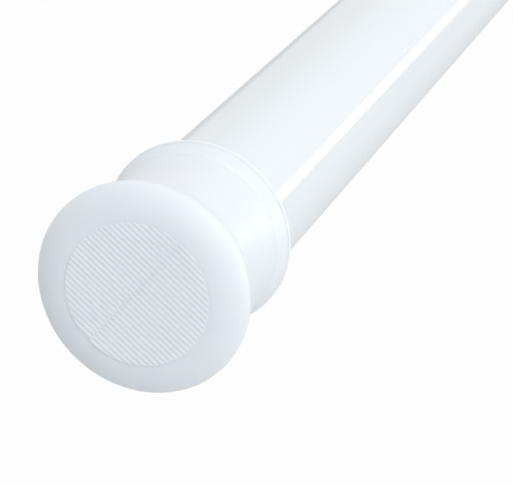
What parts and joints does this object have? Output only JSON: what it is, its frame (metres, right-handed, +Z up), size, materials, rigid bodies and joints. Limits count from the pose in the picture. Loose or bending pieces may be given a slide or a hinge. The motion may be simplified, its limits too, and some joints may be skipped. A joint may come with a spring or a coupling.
{
  "type": "spring tension rod",
  "caption": "Round telescopic spring tension rod with a twist cam lock inside and soft ribbed wall caps on its ends.",
  "frame": {"origin": "centre of the outer tube's cap, on the tops of the ribs that press against the wall", "axes": "+X runs along the rod from the outer tube's cap to the inner tube's cap, +Z is up when the rod is fitted level"},
  "size_m": [0.66, 0.0332, 0.0333],
  "materials": {
    "tube_enamel": "smooth glossy white enamel on thin steel tube",
    "cap_vinyl": "soft white vinyl with a faint satin sheen",
    "bush_plastic": "moulded white plastic",
    "lock_nylon": "natural nylon, slightly waxy",
    "plug_plastic": "moulded black plastic",
    "plated_steel": "bright zinc plated steel",
    "spring_steel": "drawn spring wire with a thin oil film"
  },
  "bodies": {
    "outer_rod": {"outer_tube": "tube_enamel", "outer_tube_cap": "cap_vinyl", "outer_cap_disc": "plated_steel", "mouth_bush": "bush_plastic"},
    "lock_grip": {"lock_ring": "lock_nylon"},
    "lock_core": {"lock_hub": "lock_nylon", "lock_bolt": "plated_steel", "head_washer": "plated_steel", "spring": "spring_steel", "stop_washer": "plated_steel", "stop_nut": "plated_steel"},
    "inner_rod": {"inner_tube": "tube_enamel", "inner_tube_cap": "cap_vinyl", "inner_cap_disc": "plated_steel", "spring_plug": "plug_plastic", "plug_pins": "plated_steel"}
  },
  "joints": [
    {"name": "length_slide", "type": "slide", "parent": "outer_rod", "child": "lock_grip", "axis": [1, 0, 0], "range_m": [-0.05, 0.356]},
    {"name": "twist_lock", "type": "hinge", "parent": "lock_grip", "child": "lock_core", "pos_m": [0.078, 0, 0], "axis": [1, 0, 0], "range_deg": [0, 50]},
    {"name": "spring_press", "type": "slide", "parent": "lock_core", "child": "inner_rod", "axis": [-1, 0, 0], "range_m": [0, 0.025], "stiffness_N_per_m": 5000, "springref_m": -0.005, "deforming": ["spring"]}
  ]
}
